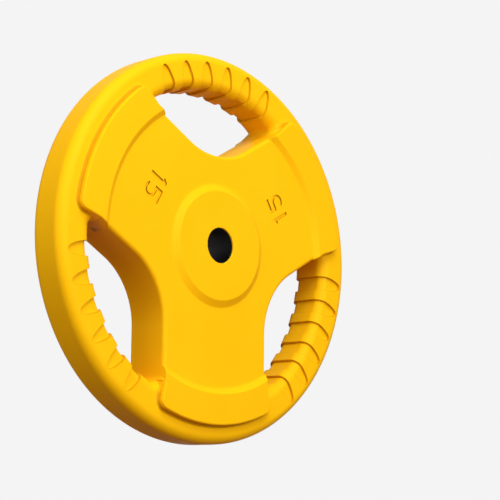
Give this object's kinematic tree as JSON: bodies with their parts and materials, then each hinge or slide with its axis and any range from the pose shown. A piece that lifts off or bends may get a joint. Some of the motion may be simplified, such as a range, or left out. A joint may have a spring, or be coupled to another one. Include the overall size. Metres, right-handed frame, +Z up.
{
  "type": "rubber coated weight plate",
  "caption": "Spoked weight plate: rubber jacket over an iron casting, finger-grooved grips in the rim, raised hub and pads, and a steel-lined bore for a bar.",
  "frame": {"origin": "middle of the bore, half way through the plate", "axes": "+Y along the bore from front to back, +X to the right seen from the front, +Z up with one spoke pointing straight down"},
  "size_m": [0.34, 0.051, 0.34],
  "materials": {
    "rubber": "smooth satin moulded rubber, coloured through",
    "iron": "as cast, hidden under the rubber",
    "steel": "turned and blackened"
  },
  "bodies": {
    "root": {"iron_core": "iron", "bore_bush": "steel", "front_rubber": "rubber", "back_rubber": "rubber"}
  },
  "joints": []
}
